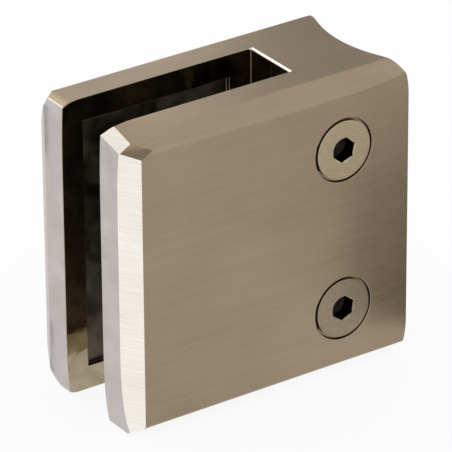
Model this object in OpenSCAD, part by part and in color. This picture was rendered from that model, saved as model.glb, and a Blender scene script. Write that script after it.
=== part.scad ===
// Clamp that holds the edge of a glass panel beside a round post.
// X runs from the open end of the glass slot to the post, Y runs through the
// glass and Z runs up along the post. The origin is the middle of the underside.

/* [Block] */
// Height of the block, measured along the post
block_h = 55; // [46:1:70]
// Width of the slot between the two jaws
slot_w = 11.6; // [11.4:0.1:14]
// Depth of the slot, open end to web
slot_depth = 38.3; // [34:0.1:44]
// Thickness of the web between slot and saddle, at its thinnest
web_t = 14.1; // [13:0.1:18]
// Flat land of each jaw, from the slot wall to the sloping edge
jaw_flat = 5.15; // [4.5:0.05:6.5]
// Depth of the sloping edge, from the land to the outer face
slope_depth = 3.75; // [3:0.05:4.5]
// Fall of the sloping edge, in degrees
slope_angle = 30; // [20:1:36]
// Radius between a slope and the outer face
slope_r = 1.1; // [0.4:0.1:1.6]

/* [Open end of the cover plate] */
// How far its outer face stands back from the open end
cover_bevel = 2.4; // [1:0.1:3]
// Radius of its upper corner
cover_upper_r = 12; // [8:0.5:16]
// Where the upper corner runs out into the top
cover_upper_in = 5; // [4:0.1:6]
// How far the end curves back below the upper corner
cover_upper_crown = 0.3; // [0.1:0.1:0.8]
// Radius of its lower corner
cover_lower_r = 1.5; // [1.2:0.1:3]
// Where the lower corner runs out into the underside
cover_lower_in = 1.7; // [1.5:0.1:2]
// How far the end curves back above the lower corner
cover_lower_crown = 0.9; // [0.5:0.1:1]
// Height of the facet that takes off its upper outer corner
cover_facet_h = 2.9; // [2:0.1:4]
// Heading of that facet from the end towards the outer face, in degrees
cover_facet_heading = 47; // [35:1:60]
// Tilt of that facet from level, in degrees
cover_facet_tilt = 26.5; // [20:0.5:40]
// Height of the flat dressed on the corner between end and top
cover_flat_h = 1.25; // [1:0.05:2]
// Heading of that flat from the end towards the outer face, in degrees
cover_flat_heading = 29.5; // [0:0.5:40]
// Tilt of that flat from level, in degrees
cover_flat_tilt = 23; // [15:0.5:45]
// Fall of its top towards that end, where the flat begins
cover_lean_h = 0.6; // [0.4:0.05:0.9]
// Heading of that lean from the end towards the outer face, in degrees
cover_lean_heading = 61; // [45:1:75]
// Tilt of that lean from level, in degrees
cover_lean_tilt = 14; // [10:0.5:18]

/* [Open end of the fixed jaw] */
// How far its outer face stands back from the open end
jaw_bevel = 1.5; // [1:0.1:3]
// Radius of its upper corner
jaw_upper_r = 5; // [3:0.5:6]
// Where the upper corner runs out into the top
jaw_upper_in = 3.2; // [2:0.1:3.3]
// How far the end curves back below the upper corner
jaw_upper_crown = 0.3; // [0.1:0.1:0.8]
// Radius of its lower corner
jaw_lower_r = 3; // [2:0.5:4]
// Where the lower corner runs out into the underside
jaw_lower_in = 2.2; // [1:0.1:2.5]
// How far the end curves back above the lower corner
jaw_lower_crown = 0.5; // [0.3:0.1:0.8]
// Radius of the upright edge at the end of the outer face
jaw_back_r = 2; // [1:0.1:3]
// Radius rolled over its two outer corners
jaw_roll_r = 4; // [2:0.5:5]
// Centre of that radius: in from the end, out from the middle, in from the top
jaw_roll_centre = [4.2, 10.4, 4.5]; // [0:0.1:12]
// Heading of the roll from the end towards the outer face, in degrees
jaw_roll_heading = 48; // [40:1:60]

/* [Post saddle] */
// Radius of the post that the saddle is cut for
post_r = 24.15; // [21.2:0.05:25.4]
// How much of each sharp saddle tip is dressed off
tip_blunt = 0.5; // [0.4:0.05:0.8]
// Radius of the slow roll of the outer faces into the tips
tip_roll_r = 200; // [150:5:400]
// Length of that roll
tip_roll_l = 15; // [5:1:18]
// Rounding of the cover plate's tips, along the block
cover_tip_in = 2.3; // [1:0.1:3]
// Rounding of the cover plate's tips, up the block
cover_tip_down = 6; // [3:0.5:8]
// Rounding of the fixed jaw's tips, along the block
jaw_tip_in = 3.5; // [1:0.1:4]
// Rounding of the fixed jaw's tips, up the block
jaw_tip_down = 4.5; // [3:0.5:8]

/* [Glass bed] */
// Rim left round the recess that seats the rubber bed
bed_rim = 4.4; // [3:0.1:6]
// Depth of that recess
bed_depth = 1; // [0.5:0.1:2.5]

/* [Screws] */
// Distance of the screws from the open end
screw_inset = 43.1; // [42:0.1:46]
// Distance between the two screws
screw_pitch = 30; // [24:1:34]
// Nominal thread size
thread_d = 6; // [5:1:6]
// Length of a screw, head included
screw_l = 20; // [18:1:22]
// Diameter of the countersunk head
head_d = 10.9; // [10.2:0.1:11.4]
// Upright rim at the edge of the head
head_rim = 0.3; // [0.2:0.05:0.5]
// Depth of the clear ring round the edge of the head
ring_depth = 0.8; // [0.4:0.1:1.2]
// Width of the hexagon socket across its flats
socket_af = 4; // [3:0.5:4]
// Depth of the hexagon socket
socket_depth = 2.5; // [1.8:0.1:3]
// Turn of the upper and the lower socket, in degrees
socket_turn = [19, 23]; // [0:1:59]

/* [Post fixing] */
// Clearance hole for the bolt into the post
fixing_d = 6.6; // [5.5:0.1:6.8]
// Counterbore for the head of that bolt
fixing_head_d = 11; // [10:0.1:11.2]
// Depth of the counterbore
fixing_head_depth = 6.5; // [5:0.1:7]

/* [Hidden] */
$fn = 96;

nickel = [0.60, 0.54, 0.46];
steel = [0.52, 0.47, 0.41];

// Overrun that carries a cutter clear of the surface it opens
past = 2;
// Running gap between thread and hole, on the radius
thread_gap = 0.06;
// Gap between screw head and countersink, on the radius
seat_gap = 0.07;
// Steps along a rounded corner, a crowned end and a slow roll
arc_steps = 8;
crown_steps = 12;
roll_steps = 5;
// How late the crown of an end face sets in
crown_power = 6;

half_slot = slot_w / 2;
half_land = half_slot + jaw_flat;
half_t = half_land + slope_depth;
saddle_depth = post_r - sqrt(post_r * post_r - half_t * half_t);
block_l = slot_depth + web_t + saddle_depth - tip_blunt;

x_open = -block_l / 2;
x_tip = block_l / 2;
x_web = x_open + slot_depth;
x_post = x_web + web_t + post_r;
x_screw = x_open + screw_inset;
z_mid = block_h / 2;

thread_r = thread_d / 2;
tapped_depth = screw_l - (half_t - half_slot) + past;
cover_hole_r = thread_r + 0.3;
sink_r = head_d / 2 + seat_gap + head_rim;

// Points of an arc about c, from angle a to angle b. r holds the half axes.
function arc(c, r, a, b, steps = arc_steps) =
    [for (i = [0 : steps])
        let (t = a + (b - a) * i / steps)
        [c[0] + r[0] * cos(t), c[1] + r[1] * sin(t)]];

// Mirror a list of points over the line y = at, and turn its order round.
function flipped(points, at) =
    [for (i = [len(points) - 1 : -1 : 0])
        [points[i][0], 2 * at - points[i][1]]];

// All but the first point of a list.
function tail(points) = [for (i = [1 : len(points) - 1]) points[i]];

// Upper half of a jaw seen from the front: the crowned end, a corner that
// meets the end at an edge and runs out into the top, and the rounded tip.
// corner holds radius, run-out and crown; tip holds the half axes.
function jaw_half(corner, tip) =
    let (
        r = corner[0],
        run_out = corner[1],
        crown = corner[2],
        turn = acos((run_out - crown) / r),
        rise = block_h - r + r * sin(turn) - z_mid,
        end = [for (i = [0 : crown_steps])
            let (s = i / crown_steps)
            [x_open + crown * pow(s, crown_power), z_mid + rise * s]]
    )
    concat(
        end,
        tail(arc([x_open + run_out, block_h - r], [r, r], 180 - turn, 90)),
        arc([x_tip - tip[0], block_h - tip[1]], tip, 90, 0)
    );

// Outline of a jaw, seen from the front.
module jaw_outline(upper, lower, tip) {
    top_half = jaw_half(upper, tip);
    low_half = flipped(jaw_half(lower, tip), z_mid);
    polygon(concat(tail(top_half), low_half));
}

// Section across the block, seen from the open end. The slopes run on past
// the top and the underside, which the jaw outlines cut off.
module cross_section() {
    fall = tan(slope_angle);
    z_corner = block_h - slope_depth * fall;
    run = slope_r * tan((90 - slope_angle) / 2);
    upper = concat(
        [[half_land - past / fall, block_h + past]],
        arc([half_t - slope_r, z_corner - run], [slope_r, slope_r], 90 - slope_angle, 0)
    );
    right = concat(upper, flipped(upper, z_mid));
    left = [for (i = [len(right) - 1 : -1 : 0]) [-right[i][0], right[i][1]]];
    polygon(concat(right, left));
}

// Plan of the block: bevels lead from the end faces to the outer faces.
module plan() {
    jaw_lead = jaw_bevel / slope_depth;
    cover_lead = cover_bevel / slope_depth;
    tilt = atan(jaw_lead);
    run = jaw_back_r * tan((90 - tilt) / 2);
    back_edge = arc([x_open + jaw_bevel + run, half_t - jaw_back_r],
                    [jaw_back_r, jaw_back_r], 180 - tilt, 90);
    tip_roll = arc([x_tip - tip_roll_l, half_t - tip_roll_r], [tip_roll_r, tip_roll_r],
                   90, 90 - asin((tip_roll_l + past) / tip_roll_r), roll_steps);
    polygon(concat(
        [[x_open - past * jaw_lead, half_land - past]],
        back_edge,
        [
            each tip_roll,
            each flipped(tip_roll, 0),
            [x_open + cover_bevel, -half_t],
            [x_open - past * cover_lead, past - half_land]
        ]
    ));
}

// The whole block before it is divided, with one jaw outline throughout.
module block(upper, lower, tip) {
    intersection() {
        translate([x_open - past, 0, 0])
            rotate([90, 0, 90])
            linear_extrude(block_l + 2 * past)
            cross_section();
        translate([0, half_t + past, 0])
            rotate([90, 0, 0])
            linear_extrude(2 * (half_t + past))
            jaw_outline(upper, lower, tip);
        translate([0, 0, -past])
            linear_extrude(block_h + 2 * past)
            plan();
    }
}

// Cutter that leaves a flat of the given heading, tilt and reach through a point
// near an upper corner on the -Y side of the open end.
module flat_cutter(point, heading, tilt, size = 3 * slope_depth) {
    translate(point)
        rotate([0, tilt, 180 + heading])
        translate([-size, -size, 0])
        cube([2 * size, 2 * size, size]);
}

// Cutters that roll a radius over the fixed jaw's outer corners at the open
// end, as a row of flats that touch one ball.
module corner_rolls() {
    for (low = [0, 1], tilt = [30 : 8 : 78])
        translate([0, 0, low * block_h])
            mirror([0, 1, 0])
            mirror([0, 0, low])
            translate([x_open + jaw_roll_centre[0], -jaw_roll_centre[1], block_h - jaw_roll_centre[2]])
            flat_cutter(jaw_roll_r * [
                -sin(tilt) * cos(jaw_roll_heading),
                -sin(tilt) * sin(jaw_roll_heading),
                cos(tilt)
            ], jaw_roll_heading, tilt);
}

// Space that the post fills.
module post_space() {
    translate([x_post, 0, -past])
        cylinder(r = post_r, h = block_h + 2 * past, $fn = 180);
}

// Recess in a jaw's inner wall for its rubber bed, cut towards +Y.
module bed_recess() {
    translate([x_open + bed_rim, half_slot - past, bed_rim])
        cube([slot_depth - 2 * bed_rim, bed_depth + past, block_h - 2 * bed_rim]);
}

// Puts what follows on a screw's axis: local +Z points into the block.
module on_screw_axis(z) {
    translate([x_screw, -half_t, z])
        rotate([-90, 0, 0])
        children();
}

// Heights of the two screws.
z_screws = [z_mid + screw_pitch / 2, z_mid - screw_pitch / 2];

// Fixed jaw and web in one casting.
module body() {
    color(nickel)
    difference() {
        block([jaw_upper_r, jaw_upper_in, jaw_upper_crown],
              [jaw_lower_r, jaw_lower_in, jaw_lower_crown],
              [jaw_tip_in, jaw_tip_down]);
        corner_rolls();
        // the cover plate's share of the block
        translate([x_open - past, -half_t - past, -past])
            cube([block_l + 2 * past, half_t + past - half_slot, block_h + 2 * past]);
        // glass slot
        translate([x_open - past, -half_slot - past, -past])
            cube([slot_depth + past, slot_w + past, block_h + 2 * past]);
        bed_recess();
        post_space();
        // tapped holes
        for (z = z_screws)
            translate([x_screw, -half_slot - past, z])
                rotate([-90, 0, 0])
                cylinder(r = thread_r, h = tapped_depth + past);
        // bolt hole into the post, with its counterbore in the slot
        translate([x_web - past, 0, z_mid])
            rotate([0, 90, 0])
            cylinder(d = fixing_d, h = web_t + 2 * past);
        translate([x_web - past, 0, z_mid])
            rotate([0, 90, 0])
            cylinder(d = fixing_head_d, h = fixing_head_depth + past);
    }
}

// Loose jaw, held on by the two screws.
module cover_plate() {
    color(nickel)
    difference() {
        block([cover_upper_r, cover_upper_in, cover_upper_crown],
              [cover_lower_r, cover_lower_in, cover_lower_crown],
              [cover_tip_in, cover_tip_down]);
        flat_cutter([x_open + cover_bevel, -half_t, block_h - cover_facet_h],
                    cover_facet_heading, cover_facet_tilt);
        flat_cutter([x_open + cover_upper_crown, -half_slot, block_h - cover_flat_h],
                    cover_flat_heading, cover_flat_tilt);
        flat_cutter([x_open + cover_upper_crown, -half_slot, block_h - cover_lean_h],
                    cover_lean_heading, cover_lean_tilt, slot_depth / 2);
        // all that belongs to the body
        translate([x_open - past, -half_slot, -past])
            cube([block_l + 2 * past, half_slot + half_t + past, block_h + 2 * past]);
        mirror([0, 1, 0])
            bed_recess();
        post_space();
        for (z = z_screws)
            on_screw_axis(z) {
                cylinder(r = cover_hole_r, h = half_t);
                // clear ring round the head, then the countersink that seats it
                translate([0, 0, -past])
                    cylinder(r = sink_r, h = ring_depth + past);
                translate([0, 0, -past])
                    cylinder(r1 = sink_r + past, r2 = cover_hole_r, h = sink_r - cover_hole_r + past);
            }
    }
}

// Countersunk screw with a hexagon socket, head face at z = 0, pointing to +Z.
module screw(turn) {
    head_r = head_d / 2;
    shank_r = thread_r - thread_gap;
    socket_r = socket_af / sqrt(3);
    lead_in = 0.7;
    dished = 0.2;
    color(steel)
    difference() {
        rotate_extrude()
            polygon([
                [0, 0],
                [head_r - dished / 2, 0],
                [head_r, dished / 2],
                [head_r, head_rim],
                [shank_r, head_rim + head_r - shank_r],
                [shank_r, screw_l - lead_in],
                [shank_r - lead_in, screw_l],
                [0, screw_l]
            ]);
        translate([0, 0, -past])
            rotate([0, 0, -turn])
            cylinder(r = socket_r, h = socket_depth + past, $fn = 6);
        // broken edge at the mouth of the socket
        translate([0, 0, -past])
            cylinder(r1 = socket_r + past, r2 = socket_r - dished, h = past + dished);
        // drill point below the socket
        translate([0, 0, socket_depth - 0.01])
            cylinder(d1 = socket_af, d2 = 0, h = socket_af / 2 * tan(30));
    }
}

module screw_upper() {
    on_screw_axis(z_screws[0])
        screw(socket_turn[0]);
}

module screw_lower() {
    on_screw_axis(z_screws[1])
        screw(socket_turn[1]);
}

body();
cover_plate();
screw_upper();
screw_lower();
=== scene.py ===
"""Looks of a glass panel clamp: a brushed nickel casting, its cover plate and two screws."""

import logging
import math
from dataclasses import dataclass
from enum import Enum
from typing import Sequence

import bmesh
import bpy
import numpy as np
from mathutils import Matrix, Vector


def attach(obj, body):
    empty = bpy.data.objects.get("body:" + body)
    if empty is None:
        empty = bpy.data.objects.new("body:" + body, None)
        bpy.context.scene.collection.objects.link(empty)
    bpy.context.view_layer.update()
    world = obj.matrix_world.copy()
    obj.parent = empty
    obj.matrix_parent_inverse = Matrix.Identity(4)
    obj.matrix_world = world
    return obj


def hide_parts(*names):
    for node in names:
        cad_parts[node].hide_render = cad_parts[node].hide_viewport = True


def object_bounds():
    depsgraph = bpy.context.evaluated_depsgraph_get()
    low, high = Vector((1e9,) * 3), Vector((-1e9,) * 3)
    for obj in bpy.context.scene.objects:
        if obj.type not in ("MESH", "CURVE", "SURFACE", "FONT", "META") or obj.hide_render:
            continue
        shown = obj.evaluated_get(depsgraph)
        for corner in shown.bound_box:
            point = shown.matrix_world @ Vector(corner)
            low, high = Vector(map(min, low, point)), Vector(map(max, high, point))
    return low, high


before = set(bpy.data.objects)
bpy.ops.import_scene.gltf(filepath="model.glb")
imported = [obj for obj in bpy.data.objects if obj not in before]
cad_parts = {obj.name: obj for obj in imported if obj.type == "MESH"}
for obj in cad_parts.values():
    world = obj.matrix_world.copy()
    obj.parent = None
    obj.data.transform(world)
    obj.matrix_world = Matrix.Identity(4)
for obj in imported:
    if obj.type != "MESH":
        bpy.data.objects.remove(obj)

logging.basicConfig(level=logging.INFO, format="%(message)s")
log = logging.getLogger("clamp")

MM = 0.001
# Places nearer to each other than this, in metres, count as touching
TOUCH = 0.01 * MM
TURN = 2.0 * math.pi
# Widest turn, in degrees, between two steps of one rounded surface
STEP_ANGLE = 12.0
# Least turn, in degrees, of an edge that stays a line wherever it is
CORNER_ANGLE = 50.0
CAD_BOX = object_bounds()


# ---------------------------------------------------------------- colours and nodes


def linear(hex_colour: str) -> tuple[float, float, float, float]:
    """Turns an sRGB hex colour to linear RGBA.

    Args:
        hex_colour: six hex digits, such as "A0907A".

    Returns:
        Linear red, green, blue and an alpha of 1.
    """
    srgb = np.array([int(hex_colour[i:i + 2], 16) for i in (0, 2, 4)]) / 255.0
    low = srgb / 12.92
    high = ((srgb + 0.055) / 1.055) ** 2.4
    red, green, blue = np.where(srgb <= 0.04045, low, high)
    return float(red), float(green), float(blue), 1.0


def add_node(tree: bpy.types.NodeTree, kind: str, settings: dict | None = None,
             inputs: dict | None = None) -> bpy.types.Node:
    """Adds one shader node, sets it and links it.

    Args:
        tree: the material's node tree.
        kind: the node's Blender type.
        settings: attributes of the node, by name.
        inputs: socket name or index to a value, or to the socket that feeds it.

    Returns:
        The new node.
    """
    node = tree.nodes.new(kind)
    for name, value in (settings or {}).items():
        setattr(node, name, value)
    for name, value in (inputs or {}).items():
        if isinstance(value, bpy.types.NodeSocket):
            tree.links.new(value, node.inputs[name])
        else:
            node.inputs[name].default_value = value
    return node


def new_material(name: str) -> tuple[bpy.types.Material, bpy.types.NodeTree, bpy.types.Node]:
    """Starts a material.

    Args:
        name: the material's name.

    Returns:
        The material, its node tree and its shader.
    """
    material = bpy.data.materials.new(name)
    material.use_nodes = True
    tree = material.node_tree
    return material, tree, tree.nodes["Principled BSDF"]


def wire_metal(tree: bpy.types.NodeTree, shader: bpy.types.Node,
               colour: bpy.types.NodeSocket, gloss: bpy.types.NodeSocket,
               relief: bpy.types.NodeSocket) -> None:
    """Makes a shader a bare metal.

    Args:
        tree: the material's node tree.
        shader: its shader.
        colour: what gives its colour.
        gloss: what gives its roughness.
        relief: what gives its normal.
    """
    shader.inputs["Metallic"].default_value = 1.0
    tree.links.new(colour, shader.inputs["Base Color"])
    tree.links.new(gloss, shader.inputs["Roughness"])
    tree.links.new(relief, shader.inputs["Normal"])


# ---------------------------------------------------------------- finishes


class Zone(Enum):
    """Material slots of a casting's mesh, by how the surface was finished; the end and bevel
    slots also carry painted light.
    """

    BRUSHED = 0
    # Buffed end faces in lilac grey: partly a painted cool reflection
    END = 1
    # Near-white bevel finish: a painted highlight on the bevel strips, the cover's corner flat
    # and the web's rim
    BEVEL = 2
    INNER = 3
    # Recess floor, coloured darker than the plate
    BED = 4


@dataclass(frozen=True)
class BrushedNickel:
    """Satin nickel plate on zinc, drawn along the block on an abrasive belt.

    The belt leaves scratches a tenth of a millimetre wide and a few long. They are drawn
    here at twice that width, so that they show at arm's length, and they turn the plate's
    mirror into a broad, soft sheen with faint stripes along the block. Crosswise, the
    scratches are level on every side, as the belt leaves them on an upright bevel.
    """

    name: str = "satin_nickel_brushed"
    light: str = "A2917B"
    dark: str = "93826C"
    roughness: float = 0.34
    roughness_swing: float = 0.05
    scratch_length: float = 7.0 * MM
    scratch_width: float = 0.20 * MM
    scratch_depth: float = 0.0012 * MM
    stripe_length: float = 16.0 * MM
    stripe_width: float = 0.6 * MM
    cloud_size: float = 13.0 * MM
    crosswise: bool = False

    def make(self) -> bpy.types.Material:
        """Builds the material.

        Returns:
            The finished material.
        """
        material, tree, shader = new_material(self.name)
        place = add_node(tree, "ShaderNodeTexCoord").outputs["Object"]

        def stretched(length: float, width: float, detail: float) -> bpy.types.NodeSocket:
            """Noise with one feature per length and width, along X or level all round."""
            sideways = length if self.crosswise else width
            drawn = add_node(tree, "ShaderNodeMapping", inputs={
                "Vector": place, "Scale": (1.0 / length, 1.0 / sideways, 1.0 / width)})
            return add_node(tree, "ShaderNodeTexNoise", inputs={
                "Vector": drawn.outputs[0], "Scale": 1.0, "Detail": detail,
                "Roughness": 0.55}).outputs["Fac"]

        scratches = stretched(self.scratch_length, self.scratch_width, 3.0)
        stripes = stretched(self.stripe_length, self.stripe_width, 2.0)
        clouds = add_node(tree, "ShaderNodeTexNoise", inputs={
            "Vector": place, "Scale": 1.0 / self.cloud_size, "Detail": 2.0}).outputs["Fac"]
        both = add_node(tree, "ShaderNodeMath", {"operation": "ADD"},
                        {0: scratches, 1: stripes}).outputs[0]
        three = add_node(tree, "ShaderNodeMath", {"operation": "ADD"},
                         {0: both, 1: clouds}).outputs[0]
        tone = add_node(tree, "ShaderNodeMapRange", inputs={
            "Value": three, "From Min": 0.9, "From Max": 2.1}).outputs["Result"]
        colour = add_node(tree, "ShaderNodeMix", {"data_type": "RGBA"}, {
            "Factor": tone, 6: linear(self.dark), 7: linear(self.light)}).outputs[2]
        gloss = add_node(tree, "ShaderNodeMapRange", inputs={
            "Value": scratches, "From Min": 0.25, "From Max": 0.75,
            "To Min": self.roughness - self.roughness_swing,
            "To Max": self.roughness + self.roughness_swing}).outputs["Result"]
        relief = add_node(tree, "ShaderNodeBump", inputs={
            "Height": scratches, "Strength": 1.0, "Distance": self.scratch_depth})
        wire_metal(tree, shader, colour, gloss, relief.outputs["Normal"])
        return material


@dataclass(frozen=True)
class PolishedNickel:
    """Nickel plate on a buffed or as-cast surface, with no belt marks.

    The skin is smooth but not flat: it waves a little over a few millimetres, so that what
    it mirrors swims, and it dulls in soft patches.
    """

    name: str
    light: str
    dark: str
    roughness: float
    roughness_swing: float
    wave_size: float
    wave_depth: float

    def make(self) -> bpy.types.Material:
        """Builds the material.

        Returns:
            The finished material.
        """
        material, tree, shader = new_material(self.name)
        place = add_node(tree, "ShaderNodeTexCoord").outputs["Object"]
        waves = add_node(tree, "ShaderNodeTexNoise", inputs={
            "Vector": place, "Scale": 1.0 / self.wave_size, "Detail": 2.0,
            "Distortion": 0.6}).outputs["Fac"]
        tone = add_node(tree, "ShaderNodeMapRange", inputs={
            "Value": waves, "From Min": 0.3, "From Max": 0.7}).outputs["Result"]
        colour = add_node(tree, "ShaderNodeMix", {"data_type": "RGBA"}, {
            "Factor": tone, 6: linear(self.dark), 7: linear(self.light)}).outputs[2]
        gloss = add_node(tree, "ShaderNodeMapRange", inputs={
            "Value": tone, "To Min": self.roughness - self.roughness_swing,
            "To Max": self.roughness + self.roughness_swing}).outputs["Result"]
        relief = add_node(tree, "ShaderNodeBump", inputs={
            "Height": waves, "Strength": 1.0, "Distance": self.wave_depth})
        wire_metal(tree, shader, colour, gloss, relief.outputs["Normal"])
        return material


@dataclass(frozen=True)
class TurnedSteel:
    """Nickel-plated steel that was faced on a lathe: faint rings about the screw's axis."""

    name: str
    axis_x: float
    axis_z: float
    light: str
    dark: str
    roughness: float = 0.38
    roughness_swing: float = 0.08
    ring_pitch: float = 0.22 * MM
    ring_depth: float = 0.003 * MM
    fleck_size: float = 0.5 * MM

    def make(self) -> bpy.types.Material:
        """Builds the material.

        Returns:
            The finished material.
        """
        material, tree, shader = new_material(self.name)
        place = add_node(tree, "ShaderNodeTexCoord").outputs["Object"]
        centred = add_node(tree, "ShaderNodeMapping", inputs={
            "Vector": place, "Location": (-self.axis_x, 0.0, -self.axis_z)}).outputs[0]
        flat = add_node(tree, "ShaderNodeVectorMath", {"operation": "MULTIPLY"},
                        {0: centred, 1: (1.0, 0.0, 1.0)}).outputs[0]
        radius = add_node(tree, "ShaderNodeVectorMath", {"operation": "LENGTH"},
                          {0: flat}).outputs["Value"]
        rings = add_node(tree, "ShaderNodeTexNoise", {"noise_dimensions": "1D"}, {
            "W": radius, "Scale": 1.0 / self.ring_pitch, "Detail": 1.0}).outputs["Fac"]
        flecks = add_node(tree, "ShaderNodeTexNoise", inputs={
            "Vector": place, "Scale": 1.0 / self.fleck_size, "Detail": 3.0}).outputs["Fac"]
        both = add_node(tree, "ShaderNodeMath", {"operation": "ADD"},
                        {0: rings, 1: flecks}).outputs[0]
        tone = add_node(tree, "ShaderNodeMapRange", inputs={
            "Value": both, "From Min": 0.7, "From Max": 1.3}).outputs["Result"]
        colour = add_node(tree, "ShaderNodeMix", {"data_type": "RGBA"}, {
            "Factor": tone, 6: linear(self.dark), 7: linear(self.light)}).outputs[2]
        gloss = add_node(tree, "ShaderNodeMapRange", inputs={
            "Value": tone, "To Min": self.roughness - self.roughness_swing,
            "To Max": self.roughness + self.roughness_swing}).outputs["Result"]
        relief = add_node(tree, "ShaderNodeBump", inputs={
            "Height": rings, "Strength": 1.0, "Distance": self.ring_depth})
        wire_metal(tree, shader, colour, gloss, relief.outputs["Normal"])
        return material


# ---------------------------------------------------------------- mesh tools


def new_object(name: str, mesh: bpy.types.Mesh) -> bpy.types.Object:
    """Puts a mesh into the scene as an object at the origin.

    Args:
        name: the object's name.
        mesh: its mesh.

    Returns:
        The object.
    """
    piece = bpy.data.objects.new(name, mesh)
    bpy.context.scene.collection.objects.link(piece)
    return piece


def merged_copy(node: str, name: str, split_x: float) -> bpy.types.Object:
    """Copies a CAD node's loose triangles into one closed, flat-sided mesh.

    Corners closer than a micron become one, and neighbouring triangles in one plane
    become one face, so that only real edges are left. A cut across the piece lets an edge
    change its rounding there.

    Args:
        node: the CAD node.
        name: the new piece's name.
        split_x: where along X the faces are divided, in metres.

    Returns:
        The new object.
    """
    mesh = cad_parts[node].data.copy()
    mesh.name = name
    work = bmesh.new()
    work.from_mesh(mesh)
    micron = 0.001 * MM
    flat_within = math.radians(0.2)
    bmesh.ops.remove_doubles(work, verts=work.verts, dist=micron)
    bmesh.ops.dissolve_limit(work, angle_limit=flat_within, verts=work.verts,
                             edges=work.edges, delimit={"NORMAL"})
    everything = work.verts[:] + work.edges[:] + work.faces[:]
    bmesh.ops.bisect_plane(work, geom=everything, dist=micron,
                           plane_co=(split_x, 0.0, 0.0), plane_no=(1.0, 0.0, 0.0))
    work.to_mesh(mesh)
    work.free()
    mesh.materials.clear()
    return new_object(name, mesh)


@dataclass
class Edges:
    """What is known of a closed mesh's edges, one row for each.

    A turn is the angle in degrees that the surface turns over the edge, middle the edge's
    middle point, facing the sum of the normals of its two faces. Room is the length of
    the shortest other edge that it meets, which limits how far it can be rounded, and
    finish_changes tells that its two faces have different materials.
    """

    turn: np.ndarray
    middle: np.ndarray
    facing: np.ndarray
    room: np.ndarray
    finish_changes: np.ndarray

    @classmethod
    def of(cls, mesh: bpy.types.Mesh) -> "Edges":
        """Measures every edge of a mesh.

        Args:
            mesh: a closed mesh with its materials set.

        Returns:
            The measures.
        """
        work = bmesh.new()
        work.from_mesh(mesh)
        edges = cls(
            turn=np.array([math.degrees(edge.calc_face_angle(0.0)) for edge in work.edges]),
            middle=np.array([(edge.verts[0].co + edge.verts[1].co) / 2.0
                             for edge in work.edges]),
            facing=np.array([sum((face.normal for face in edge.link_faces), Vector())
                             for edge in work.edges]),
            room=np.array([min(other.calc_length() for vert in edge.verts
                               for other in vert.link_edges if other is not edge)
                           for edge in work.edges]),
            finish_changes=np.array([len({face.material_index for face in edge.link_faces}) > 1
                                     for edge in work.edges]))
        work.free()
        return edges


@dataclass(frozen=True)
class Rounding:
    """How polishing treated each edge, one row for each.

    A share is the part of the widest rounding that the edge has, 0 for one that stays as
    it is. Blended edges are run into one smooth surface. Edges with painted shine are rounded
    by their share too, and take the near-white bevel finish as a painted highlight.
    """

    share: np.ndarray
    blended: np.ndarray
    painted_shine: np.ndarray


def add_rounding(piece: bpy.types.Object, name: str, width: float, segments: int,
                 shares: np.ndarray) -> bpy.types.Modifier:
    """Rounds the edges of a piece by their shares of a width.

    Args:
        piece: the piece.
        name: the modifier's name, and the name of the mesh attribute that holds the shares.
        width: the widest rounding, in metres.
        segments: how many flats make up a rounding.
        shares: each edge's share.

    Returns:
        The modifier.
    """
    weights = piece.data.attributes.new(name, "FLOAT", "EDGE")
    weights.data.foreach_set("value", shares.astype(np.float32))
    bevel = piece.modifiers.new(name, "BEVEL")
    bevel.width = width
    bevel.segments = segments
    bevel.limit_method = "WEIGHT"
    bevel.edge_weight = name
    return bevel


def soften(piece: bpy.types.Object, width: float, edges: Edges, rounding: Rounding) -> None:
    """Rounds the edges of a piece, and shades the rest smoothly.

    An edge that is not rounded shows as a line where it is sharp, or where the finish
    changes.

    Args:
        piece: the piece to finish.
        width: the widest rounding, in metres.
        edges: the measures of its edges.
        rounding: how each edge is treated.
    """
    mesh = piece.data
    mesh.polygons.foreach_set("use_smooth", np.ones(len(mesh.polygons), dtype=bool))
    sharp = (edges.turn > STEP_ANGLE) & ~rounding.blended
    lines = (sharp | edges.finish_changes) & (rounding.share == 0.0)
    mesh.edges.foreach_set("use_edge_sharp", lines)
    rim = add_rounding(piece, "worn_rim", width, 3, rounding.painted_shine)
    # The rounded rims take the near-white bevel finish: a painted highlight.
    rim.material = Zone.BEVEL.value
    rounded = add_rounding(piece, "rounded_edges", width, 4, rounding.share)
    rounded.use_clamp_overlap = False
    cuts = piece.modifiers.new("lines_at_corners", "EDGE_SPLIT")
    cuts.split_angle = math.radians(CORNER_ANGLE)
    shading = piece.modifiers.new("flats_stay_flat", "WEIGHTED_NORMAL")
    shading.mode = "FACE_AREA"
    shading.weight = 50
    shading.keep_sharp = True


def grid_faces(rows: int, columns: int) -> np.ndarray:
    """Quads of a grid that closes round its columns.

    Args:
        rows: how many rings of points.
        columns: how many points in a ring.

    Returns:
        One row of four point numbers for each quad.
    """
    row = np.arange(rows - 1)[:, None]
    column = np.arange(columns)[None, :]
    beside = (column + 1) % columns
    corners = [row * columns + column, row * columns + beside,
               (row + 1) * columns + beside, (row + 1) * columns + column]
    return np.stack(corners, axis=-1).reshape(-1, 4)


# ---------------------------------------------------------------- the castings


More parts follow.
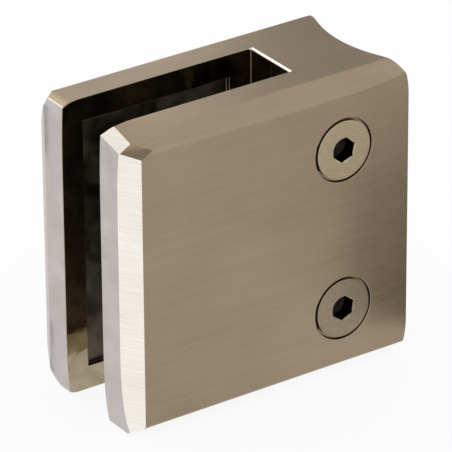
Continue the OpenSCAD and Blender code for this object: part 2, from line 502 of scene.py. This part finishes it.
@dataclass
class Casting:
    """One of the two nickel-plated castings, dressed by zones.

    The open end is the least X, the near jaw is the cover plate at negative Y, the far jaw
    and the web belong to the body. A reach is how far from the open end a rule holds.
    """

    node: str
    body: str
    name: str
    finishes: dict[Zone, bpy.types.Material]
    slot_half_width: float = 5.8 * MM
    slot_depth: float = 38.3 * MM
    bed_depth: float = 1.0 * MM
    height: float = 55.0 * MM
    end_reach: float = 1.5 * MM
    bevel_reach: float = 2.5 * MM
    corner_reach: float = 5.0 * MM
    jaw_corner_reach: float = 4.5 * MM
    jaw_corner_height: float = 8.0 * MM
    jaw_corner_side: float = 11.0 * MM
    cover_corner_height: float = 3.5 * MM
    saddle_offset: float = 8.0 * MM
    edge_width: float = 1.0 * MM
    common_share: float = 0.18
    crease_share: float = 0.5
    web_rim_share: float = 0.4
    room_share: float = 0.45

    def zones(self, mesh: bpy.types.Mesh) -> np.ndarray:
        """Works out each face's zone from its middle and its normal.

        Args:
            mesh: the casting's mesh.

        Returns:
            A Zone value for each face.
        """
        count = len(mesh.polygons)
        middle = np.empty(count * 3)
        normal = np.empty(count * 3)
        mesh.polygons.foreach_get("center", middle)
        mesh.polygons.foreach_get("normal", normal)
        x, y, _ = middle.reshape(-1, 3).T
        from_end = x - CAD_BOX[0].x
        nx, ny, nz = normal.reshape(-1, 3).T
        near, far = y < 0.0, y > 0.0
        in_slot = ((np.abs(y) < self.slot_half_width + self.bed_depth + TOUCH)
                   & (from_end < self.slot_depth + TOUCH) & (np.abs(nz) < 0.9))
        in_bed = in_slot & (np.abs(y) > self.slot_half_width + 0.9 * self.bed_depth)
        at_end = (nx < -0.96) & (from_end < self.end_reach)
        rolled_side = nx < -0.7
        rolled_top = (nx < -0.5) & (np.abs(ny) < 0.1)
        at_end |= far & (rolled_side | rolled_top) & (from_end < self.bevel_reach)
        # The upright bevel strips at the open end and the cover's corner flat take the
        # near-white bevel finish: a painted highlight.
        upright_bevel = ((nx < -0.6) & ~at_end & (np.abs(nz) < 0.2)
                         & (from_end < self.bevel_reach))
        corner_flat_painted_highlight = (near & (from_end < self.corner_reach)
                       & (nx < -0.25) & (nz > 0.5) & (ny > -0.3))
        zone = np.full(count, Zone.BRUSHED.value)
        zone[in_slot] = Zone.INNER.value
        zone[in_bed] = Zone.BED.value
        zone[at_end] = Zone.END.value
        zone[upright_bevel | corner_flat_painted_highlight] = Zone.BEVEL.value
        return zone

    def rounding(self, edges: Edges) -> Rounding:
        """Works out how polishing treated each edge.

        The long creases of the top and the underside are rounded most. The parting line,
        the rims of the saddle and the edges of both open ends stay as they are. The web's
        upper rim is rounded and takes the near-white bevel finish, a painted highlight.

        Args:
            edges: the measures of the casting's edges.

        Returns:
            Each edge's treatment.
        """
        x, y, z = edges.middle.T
        from_end = x - CAD_BOX[0].x
        near, far = y < 0.0, y > 0.0
        steep = edges.turn > 60.0
        gentle = edges.turn < 24.0
        parting = ((np.abs(y + self.slot_half_width) < TOUCH)
                   & (from_end > self.slot_depth + TOUCH))
        crease = ((edges.turn > 26.0) & (edges.turn < 34.0)
                  & (np.abs(edges.facing[:, 2]) > 1.6))
        saddle_rim = ((edges.facing[:, 0] > 0.4) & steep
                      & (from_end > self.slot_depth + self.saddle_offset))
        web_rim = ((np.abs(from_end - self.slot_depth) < TOUCH) & steep
                   & (z > self.height - 0.1 * MM))
        cover_end = near & (from_end < self.bevel_reach)
        cover_corner = near & (x < 0.0) & (z > self.height - self.cover_corner_height) & gentle
        jaw_end = far & (from_end < self.jaw_corner_reach) & gentle
        beside_slot = y > self.slot_half_width + 0.1 * MM
        at_foot = beside_slot & (z < self.jaw_corner_height)
        at_head = (y > self.jaw_corner_side) & (z > self.height - self.jaw_corner_height)
        jaw_corner = (at_foot | at_head) & (from_end < self.jaw_corner_reach)
        share = np.where(edges.turn > STEP_ANGLE, self.common_share, 0.0)
        share[crease] = self.crease_share
        share[parting | saddle_rim | web_rim | cover_end | cover_corner
              | jaw_end | jaw_corner] = 0.0
        room = self.room_share * edges.room / self.edge_width
        return Rounding(share=np.minimum(share, room), blended=cover_corner | jaw_end,
                        painted_shine=np.where(web_rim, self.web_rim_share, 0.0))

    def build(self) -> bpy.types.Object:
        """Builds the dressed casting in the CAD node's place.

        Returns:
            The finished piece.
        """
        piece = merged_copy(self.node, self.name, CAD_BOX[0].x + self.slot_depth)
        mesh = piece.data
        for zone in Zone:
            mesh.materials.append(self.finishes[zone])
        mesh.polygons.foreach_set("material_index", self.zones(mesh).astype(np.int32))
        edges = Edges.of(mesh)
        soften(piece, self.edge_width, edges, self.rounding(edges))
        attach(piece, self.body)
        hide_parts(self.node)
        return piece


# ---------------------------------------------------------------- the screws


@dataclass
class CountersunkScrew:
    """A countersunk screw with a hexagon socket and a real thread, in millimetres.

    It is one surface of two parameters, the angle about the axis and the way along the
    profile, from the bottom of the socket over the head and down the thread to the tip.
    """

    node: str
    body: str
    name: str
    axis_x: float
    axis_z: float
    face_y: float
    turn: float
    head_r: float = 5.38
    rim: float = 0.30
    rounding: float = 0.12
    socket_af: float = 4.0
    socket_depth: float = 2.5
    mouth: float = 0.18
    mouth_slope: float = 1.6
    mouth_margin: float = 0.02
    thread_r: float = 2.94
    thread_depth: float = 0.58
    pitch: float = 1.0
    length: float = 20.0
    lead_in: float = 0.7
    run_in: float = 2.5
    rings_per_mm: int = 18
    columns: int = 144
    socket_rows: int = 4

    def hexagon(self, angle: np.ndarray, across_flats: float) -> np.ndarray:
        """Radius of a hexagon: half its width over the cosine of the angle to the flat.

        Args:
            angle: angles about the axis, in radians.
            across_flats: the hexagon's width.

        Returns:
            The radius at each angle.
        """
        sector = math.radians(60.0)
        from_corner = np.mod(angle - math.radians(self.turn), sector)
        return across_flats / 2.0 / np.cos(from_corner - sector / 2.0)

    def surface(self) -> tuple[np.ndarray, np.ndarray]:
        """Radius and depth of every point, as rings of points from socket to tip.

        The socket ends in a drill point and its rings are hexagons, the mouth's are
        whichever is wider of the hexagon and a circle, the head's are circles, and the
        thread's follow a clipped triangle wave in depth less the share of a turn, which is
        a helix.

        Returns:
            Two arrays of rings by columns: the radius and the depth below the head face.
        """
        angle = np.linspace(0.0, TURN, self.columns, endpoint=False)
        circle = np.ones_like(angle)
        wall = self.hexagon(angle, self.socket_af)
        corner = self.socket_af / math.sqrt(3.0)
        point_depth = self.socket_af / 2.0 * math.tan(math.radians(30.0))
        rings: list[tuple[np.ndarray, np.ndarray]] = []

        for share in (0.02, 0.5, 1.0):
            flat_r = self.socket_af / 2.0 * share
            rings.append((circle * flat_r,
                          circle * (self.socket_depth + point_depth * (1.0 - share))))
        rings.append((wall, circle * self.socket_depth))
        mouth_r = corner + self.mouth_margin
        for share in np.linspace(0.0, 1.0, 6):
            slope_r = mouth_r - self.mouth * self.mouth_slope * (1.0 - share)
            rings.append((np.maximum(wall, slope_r), circle * self.mouth * (1.0 - share)))
        outer_r = self.head_r - self.rounding
        for share in np.linspace(0.06, 1.0, 12):
            rings.append((circle * (mouth_r + (outer_r - mouth_r) * share), circle * 0.0))
        for bend in np.linspace(0.15, 1.0, 6) * math.pi / 2.0:
            rings.append((circle * (outer_r + self.rounding * math.sin(bend)),
                          circle * self.rounding * (1.0 - math.cos(bend))))
        rings.append((circle * self.head_r, circle * self.rim))
        cone_end = self.rim + self.head_r - self.thread_r
        for share in (0.04, 0.5, 0.96, 1.0):
            rings.append((circle * (self.head_r + (self.thread_r - self.head_r) * share),
                          circle * (self.rim + (cone_end - self.rim) * share)))
        thread_rings = int((self.length - cone_end) * self.rings_per_mm)
        for depth in np.linspace(cone_end + 0.05, self.length, thread_rings):
            phase = np.mod(depth / self.pitch - angle / TURN, 1.0)
            wave = np.clip(np.abs(2.0 * phase - 1.0) * 1.5 - 0.25, 0.0, 1.0)
            full = min(1.0, (depth - cone_end) / self.run_in)
            crest = self.thread_r - max(0.0, depth - (self.length - self.lead_in))
            radius = np.minimum(self.thread_r - self.thread_depth * full * wave, crest)
            rings.append((radius, circle * depth))
        rings.append((circle * 0.02, circle * self.length))
        return np.array([r for r, _ in rings]), np.array([d for _, d in rings])

    def build(self, plate: bpy.types.Material, socket: bpy.types.Material) -> bpy.types.Object:
        """Builds the screw where the CAD node stands.

        Args:
            plate: finish of the head and thread.
            socket: finish of the inside of the socket.

        Returns:
            The finished piece.
        """
        radius, depth = self.surface()
        rows, columns = radius.shape
        angle = np.linspace(0.0, TURN, columns, endpoint=False)[None, :]
        points = np.stack([self.axis_x + radius * np.cos(angle),
                           self.face_y + depth,
                           self.axis_z + radius * np.sin(angle)], axis=-1).reshape(-1, 3)
        tips = np.array([[self.axis_x, self.face_y + depth[0].max(), self.axis_z],
                         [self.axis_x, self.face_y + self.length, self.axis_z]])
        points = np.concatenate([points, tips]) * MM
        quads = grid_faces(rows, columns)
        ring = np.arange(columns)
        beside = (ring + 1) % columns
        first = np.stack([beside, ring, np.full(columns, rows * columns)], axis=-1)
        last_row = (rows - 1) * columns
        last = np.stack([last_row + ring, last_row + beside,
                         np.full(columns, rows * columns + 1)], axis=-1)
        mesh = bpy.data.meshes.new(self.name)
        mesh.from_pydata(points.tolist(), [], quads.tolist() + first.tolist() + last.tolist())
        mesh.materials.append(plate)
        mesh.materials.append(socket)
        in_socket = np.zeros(len(mesh.polygons), dtype=np.int32)
        in_socket[:self.socket_rows * columns] = 1
        in_socket[len(quads):len(quads) + columns] = 1
        mesh.polygons.foreach_set("material_index", in_socket)
        mesh.polygons.foreach_set("use_smooth", np.ones(len(mesh.polygons), dtype=bool))
        mesh.set_sharp_from_angle(angle=math.radians(28.0))
        mesh.update()
        piece = new_object(self.name, mesh)
        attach(piece, self.body)
        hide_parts(self.node)
        return piece


# ---------------------------------------------------------------- the studio


@dataclass
class Studio:
    """A pale floor, a white sky, a soft lamp, two grey cards that paint dark reflections into
    the metal, and the camera.

    Angles are in degrees, and the front card's corners in millimetres.
    """

    middle_height: float = 27.0 * MM
    top_height: float = 55.0 * MM
    azimuth: float = -34.377
    elevation: float = 26.945
    roll: float = -0.433
    target: tuple[float, float, float] = (0.143 * MM, -0.604 * MM, 26.677 * MM)
    distance: float = 779.94 * MM
    lens: float = 365.45
    sensor: float = 36.0
    paper_colour: str = "F2F2F2"
    paper_glow: float = 0.9
    floor_half: float = 4.0
    front_card_colour: str = "A6A09C"
    front_card_lift: float = 0.2 * MM
    front_card_corners: tuple[tuple[float, float], ...] = (
        (28.5, -30.0), (61.0, -78.0), (400.0, -78.0), (400.0, 0.0), (50.0, 0.0), (39.0, -15.0))
    back_card_colour: str = "D0CECA"
    back_card_distance: float = 120.0 * MM
    back_card_start: float = 2.0 * MM
    back_card_width: float = 250.0 * MM
    back_card_below: float = 115.0 * MM
    back_card_above: float = 34.0 * MM
    sky_strength: float = 1.06
    zenith_strength: float = 0.25
    zenith: tuple[float, float, float] = (-0.15, 0.12, 0.98)
    zenith_edge: float = 0.91
    zenith_core: float = 0.97

    def camera(self) -> bpy.types.Object:
        """Aims a long lens at the object from the left, the front and above.

        Returns:
            The camera.
        """
        data = bpy.data.cameras.new("camera")
        data.lens = self.lens
        data.sensor_width = self.sensor
        data.clip_start = 0.05
        data.clip_end = 20.0
        camera = bpy.data.objects.new("camera", data)
        a, e = math.radians(self.azimuth), math.radians(self.elevation)
        back = Vector((math.sin(a) * math.cos(e), -math.cos(a) * math.cos(e), math.sin(e)))
        look = (-back).to_track_quat("-Z", "Y").to_matrix()
        turned = look @ Matrix.Rotation(math.radians(self.roll), 3, "Z")
        place = Matrix.Translation(Vector(self.target) + back * self.distance)
        camera.matrix_world = place @ turned.to_4x4()
        bpy.context.scene.collection.objects.link(camera)
        bpy.context.scene.camera = camera
        return camera

    def lamp(self, name: str, heading: tuple[float, float, float], distance: float,
             size: tuple[float, float], radiance: float, colour: str) -> bpy.types.Object:
        """Hangs a soft box that faces the object.

        Args:
            name: the lamp's name.
            heading: the way from the object to the lamp.
            distance: how far off it hangs, in metres.
            size: its width and height, in metres.
            radiance: how bright its face is, where white paper in full light is 1.
            colour: its sRGB colour.

        Returns:
            The lamp.
        """
        data = bpy.data.lights.new(name, "AREA")
        data.shape = "RECTANGLE"
        data.size, data.size_y = size
        data.energy = radiance * math.pi * size[0] * size[1]
        data.color = linear(colour)[:3]
        lamp = bpy.data.objects.new(name, data)
        away = Vector(heading).normalized()
        lamp.location = away * distance + Vector((0.0, 0.0, self.middle_height))
        lamp.rotation_euler = away.to_track_quat("Z", "Y").to_euler()
        bpy.context.scene.collection.objects.link(lamp)
        return lamp

    def sheet(self, name: str, corners: Sequence[tuple[float, float, float]],
              material: bpy.types.Material) -> bpy.types.Object:
        """Lays or hangs a flat sheet.

        Args:
            name: the sheet's name.
            corners: its corners in order, in metres.
            material: what it is made of.

        Returns:
            The sheet.
        """
        mesh = bpy.data.meshes.new(name)
        mesh.from_pydata(list(corners), [], [tuple(range(len(corners)))])
        mesh.materials.append(material)
        sheet = new_object(name, mesh)
        return sheet

    def paper(self) -> bpy.types.Material:
        """White paper lit from behind, which the camera and the metal see paler than its shade.

        Returns:
            The finished material.
        """
        material, tree, shader = new_material("white_paper")
        shader.inputs["Base Color"].default_value = linear(self.paper_colour)
        shader.inputs["Roughness"].default_value = 0.9
        shader.inputs["Specular IOR Level"].default_value = 0.1
        path = add_node(tree, "ShaderNodeLightPath")
        seen = add_node(tree, "ShaderNodeMath", {"operation": "MAXIMUM"}, {
            0: path.outputs["Is Camera Ray"], 1: path.outputs["Is Glossy Ray"]})
        glow = add_node(tree, "ShaderNodeMath", {"operation": "MULTIPLY"}, {
            0: seen.outputs[0], 1: self.paper_glow})
        white = add_node(tree, "ShaderNodeEmission", inputs={"Strength": 1.0})
        mix = add_node(tree, "ShaderNodeMixShader", inputs={
            0: glow.outputs[0], 1: shader.outputs[0], 2: white.outputs[0]})
        tree.links.new(mix.outputs[0], tree.nodes["Material Output"].inputs["Surface"])
        return material

    def card(self, name: str, corners: Sequence[tuple[float, float, float]],
             board: str, colour: str) -> bpy.types.Object:
        """Sets up a grey card, which the metal that faces it mirrors as a painted dark
        reflection.

        Only the metal sees it, so that it neither stands in the way of other views nor
        shades the paper.

        Args:
            name: the card's name.
            corners: its corners in order, in metres.
            board: its material's name.
            colour: its sRGB colour.

        Returns:
            The card.
        """
        material, _, shader = new_material(board)
        shader.inputs["Base Color"].default_value = linear(colour)
        shader.inputs["Roughness"].default_value = 0.9
        shader.inputs["Specular IOR Level"].default_value = 0.1
        card = self.sheet(name, corners, material)
        card.visible_camera = False
        card.visible_diffuse = False
        card.visible_shadow = False
        return card

    def sheets(self) -> None:
        """Lays the paper, and the grey cards that darken the metal at the post's end as painted
        dark reflections.

        One card lies on the paper in front, the other hangs behind, and both stand
        outside the camera's picture. Their near edges run the way the metal looks.
        """
        half = self.floor_half
        self.sheet("floor", [(-half, -half, 0.0), (half, -half, 0.0), (half, half, 0.0),
                             (-half, half, 0.0)], self.paper())
        self.card("front_painted_reflection", [(x * MM, y * MM, self.front_card_lift)
                                 for x, y in self.front_card_corners],
                  "painted_reflection_card", self.front_card_colour)
        aside = Vector((0.823, -0.568, 0.0))
        ahead = Vector((0.506, 0.733, 0.454))
        rise = aside.cross(ahead)
        near = (Vector((0.0, 0.0, self.top_height)) + ahead * self.back_card_distance
                + aside * self.back_card_start)
        foot = near - rise * self.back_card_below
        head = near + rise * self.back_card_above
        across = aside * self.back_card_width
        self.card("back_painted_reflection", [tuple(foot), tuple(foot + across),
                                tuple(head + across), tuple(head)],
                  "pale_painted_reflection_card", self.back_card_colour)

    def world(self) -> None:
        """Fills the room with a plain white sky that is dark overhead."""
        world = bpy.data.worlds.new("studio")
        bpy.context.scene.world = world
        world.use_nodes = True
        tree = world.node_tree
        heading = add_node(tree, "ShaderNodeTexCoord").outputs["Generated"]
        overhead = add_node(tree, "ShaderNodeVectorMath", {"operation": "DOT_PRODUCT"}, {
            0: heading, 1: tuple(Vector(self.zenith).normalized())}).outputs["Value"]
        strength = add_node(tree, "ShaderNodeMapRange", {"interpolation_type": "SMOOTHSTEP"}, {
            "Value": overhead, "From Min": self.zenith_edge, "From Max": self.zenith_core,
            "To Min": self.sky_strength, "To Max": self.zenith_strength})
        tree.links.new(strength.outputs["Result"], tree.nodes["Background"].inputs["Strength"])
        tree.nodes["Background"].inputs["Color"].default_value = (1.0, 1.0, 1.0, 1.0)

    def build(self) -> None:
        """Sets up everything round the object."""
        self.camera()
        self.sheets()
        self.world()
        self.lamp("back_soft_box", heading=(-0.15, 0.72, 0.68), distance=1.0,
                  size=(0.45, 0.45), radiance=1.15, colour="FFFCF4")
        scene = bpy.context.scene
        scene.view_settings.view_transform = "Standard"


# ---------------------------------------------------------------- all of it


def main() -> None:
    """Builds the clamp and the studio, and reports each piece."""
    Studio().build()
    finishes = {
        Zone.BRUSHED: BrushedNickel().make(),
        # The end faces' lilac grey, paler than the brushed plate, is partly the buffed finish
        # and partly a painted cool reflection.
        Zone.END: PolishedNickel(
            "nickel_buffed_painted_cool_reflection", light="C6BFBC", dark="B4ADA9", roughness=0.30,
            roughness_swing=0.05, wave_size=6.0 * MM, wave_depth=0.01 * MM).make(),
        # The bevel finish is near white: a painted highlight.
        Zone.BEVEL: BrushedNickel(
            "nickel_bevel_painted_highlight", light="FFFDF8", dark="EAE0D1", roughness=0.22,
            scratch_depth=0.002 * MM, stripe_width=0.35 * MM, crosswise=True).make(),
        Zone.INNER: PolishedNickel(
            "nickel_as_plated", light="B0A28C", dark="94876F", roughness=0.12,
            roughness_swing=0.05, wave_size=4.0 * MM, wave_depth=0.05 * MM).make(),
        # The recess floor is coloured darker than the plate.
        Zone.BED: PolishedNickel(
            "recess_floor_dark", light="8C8478", dark="524B42", roughness=0.50,
            roughness_swing=0.10, wave_size=5.0 * MM, wave_depth=0.05 * MM).make(),
    }
    # The socket's inside is coloured nearly black.
    socket = PolishedNickel(
        "socket_inside_dark", light="2E2722", dark="1C1816", roughness=0.45,
        roughness_swing=0.1, wave_size=1.0 * MM, wave_depth=0.02 * MM).make()
    pieces = [
        Casting("body", "casting", "fixed_jaw", finishes).build(),
        Casting("cover_plate", "cover", "loose_jaw", finishes).build(),
    ]
    screw_x, outer_face_y = 14.6554, -14.7
    # The lower screw's colours are darker than the upper's: painted shade.
    for node, body, height, turn, light, dark in (
            ("screw_upper", "upper_screw", 42.5, 19.0, "B8A98F", "A6977B"),
            ("screw_lower", "lower_screw", 12.5, 23.0, "9D8F7A", "8B7D66")):
        plate = TurnedSteel(f"plated_steel_{node}", screw_x * MM, height * MM,
                            light, dark).make()
        screw = CountersunkScrew(node, body, f"{node}_threaded", screw_x, height,
                                 outer_face_y, turn)
        pieces.append(screw.build(plate, socket))
    for piece in pieces:
        log.info("%s: %d faces", piece.name, len(piece.data.polygons))


if __name__ == "__main__":
    main()
